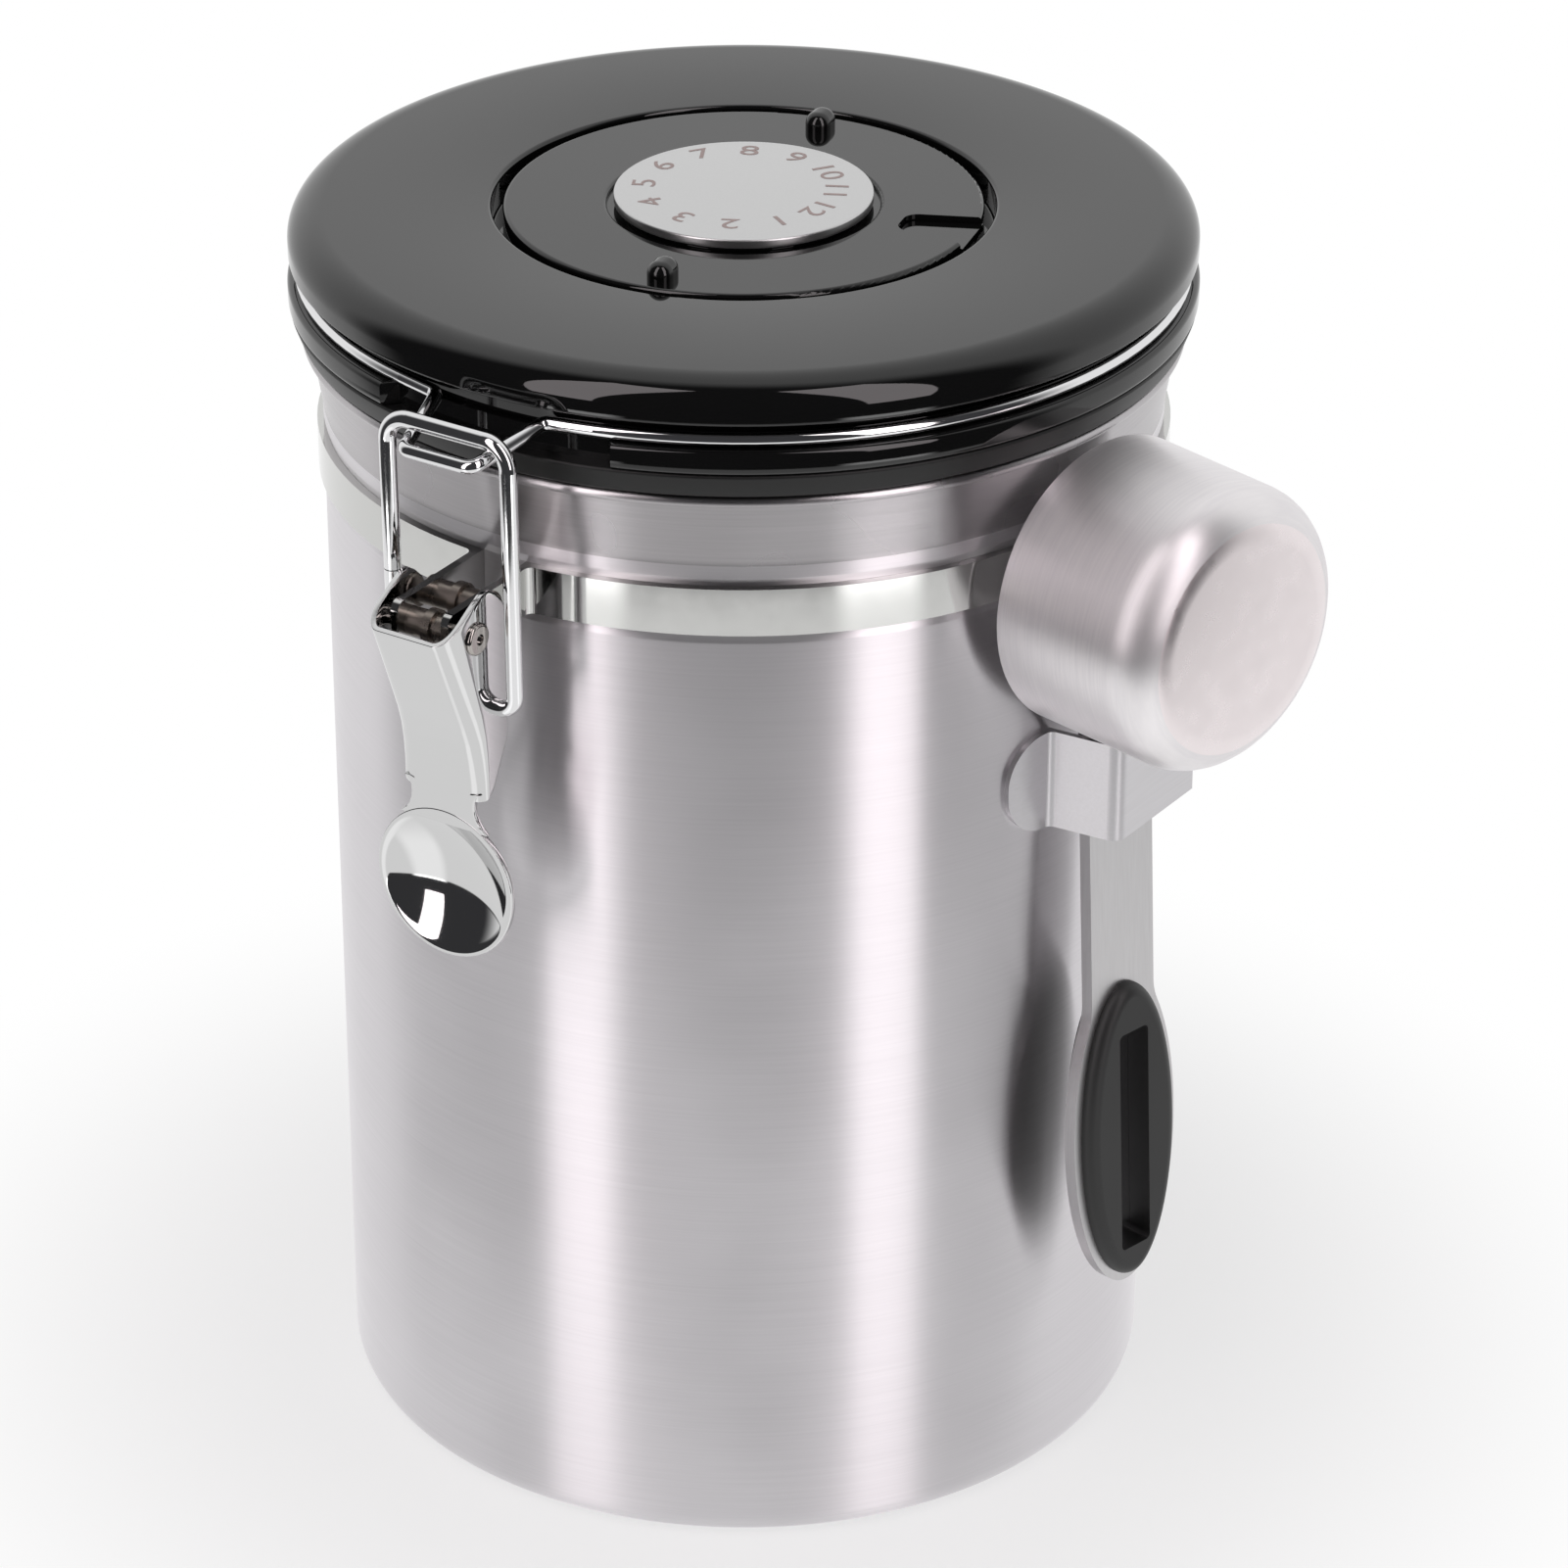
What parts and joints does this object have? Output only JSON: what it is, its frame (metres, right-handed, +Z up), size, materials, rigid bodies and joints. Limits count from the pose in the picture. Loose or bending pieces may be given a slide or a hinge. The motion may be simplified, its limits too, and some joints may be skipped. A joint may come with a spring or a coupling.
{
  "type": "coffee canister with valve",
  "caption": "Round steel coffee canister with a wire clamp latch, hinged lid with date ring and one-way valve, and a scoop hooked on its side.",
  "frame": {"origin": "middle of the can's base on the surface it stands on", "axes": "+Z up through the middle of the can; the latch faces -Y, the lid hinge is at +Y and the scoop hangs at +X"},
  "size_m": [0.1575, 0.1569, 0.1884],
  "materials": {
    "brushed_body": "satin",
    "polished_band": "polished",
    "latch_chrome": "polished",
    "pin_steel": "satin",
    "wire_chrome": "polished",
    "lid_plastic": "gloss",
    "gasket_rubber": "matte",
    "dial_metal": "satin",
    "valve_plastic": "matte",
    "valve_rubber": "matte",
    "filter_felt": "matte",
    "screw_steel": "satin",
    "scoop_steel": "satin",
    "holder_steel": "satin",
    "grip_rubber": "matte"
  },
  "bodies": {
    "canister": {"canister_body": "brushed_body", "clamp_band": "polished_band", "ear_tie_rivet": "pin_steel", "ear_spacer": "pin_steel", "lever_pivot_pin": "pin_steel", "pivot_spacer": "pin_steel", "hinge_bracket": "polished_band", "bracket_rivet_1": "pin_steel", "bracket_rivet_2": "pin_steel", "scoop_holder": "holder_steel"},
    "lid": {"lid_cover": "lid_plastic", "lid_base": "lid_plastic", "lid_hoop": "wire_chrome", "gasket": "gasket_rubber", "dial_disc": "dial_metal", "valve_seat": "valve_plastic", "filter_disc": "filter_felt", "valve_cap": "valve_plastic", "lid_screw_1": "screw_steel", "lid_screw_2": "screw_steel", "lid_screw_3": "screw_steel", "lid_screw_4": "screw_steel"},
    "date_ring": {"date_ring": "lid_plastic"},
    "valve_flap": {"valve_flap": "valve_rubber"},
    "lever": {"latch_lever": "latch_chrome"},
    "bail": {"latch_bail": "wire_chrome"},
    "scoop": {"scoop_bowl": "scoop_steel", "scoop_handle": "scoop_steel", "scoop_rivet_1": "scoop_steel", "scoop_rivet_2": "scoop_steel", "grip_front": "grip_rubber", "grip_back": "grip_rubber"}
  },
  "joints": [
    {"name": "lid_open", "type": "hinge", "parent": "canister", "child": "lid", "pos_m": [0, 0.0715, 0.1685], "axis": [-1, 0, 0], "range_deg": [0, 105]},
    {"name": "lever_open", "type": "hinge", "parent": "canister", "child": "lever", "pos_m": [0, -0.0763, 0.1507], "axis": [-1, 0, 0], "range_deg": [0, 110]},
    {"name": "bail_swing", "type": "hinge", "parent": "lever", "child": "bail", "pos_m": [0, -0.0717, 0.1385], "axis": [-1, 0, 0], "range_deg": [-132, 0]},
    {"name": "date_ring_turn", "type": "hinge", "parent": "lid", "child": "date_ring", "pos_m": [0, 0, 0.184], "axis": [0, 0, 1], "continuous": true},
    {"name": "valve_flap_lift", "type": "slide", "parent": "lid", "child": "valve_flap", "axis": [0, 0, 1], "range_m": [0, 0.0009], "stiffness_N_per_m": 20, "springref_m": -0.0002},
    {"name": "scoop_slide", "type": "slide", "parent": "canister", "child": "scoop", "axis": [0.2419, 0.9703, 0], "range_m": [0, 0.08]}
  ],
  "couplings": [
    {"joint": "bail_swing", "follows": "lever_open", "ratio": -1.2}
  ]
}
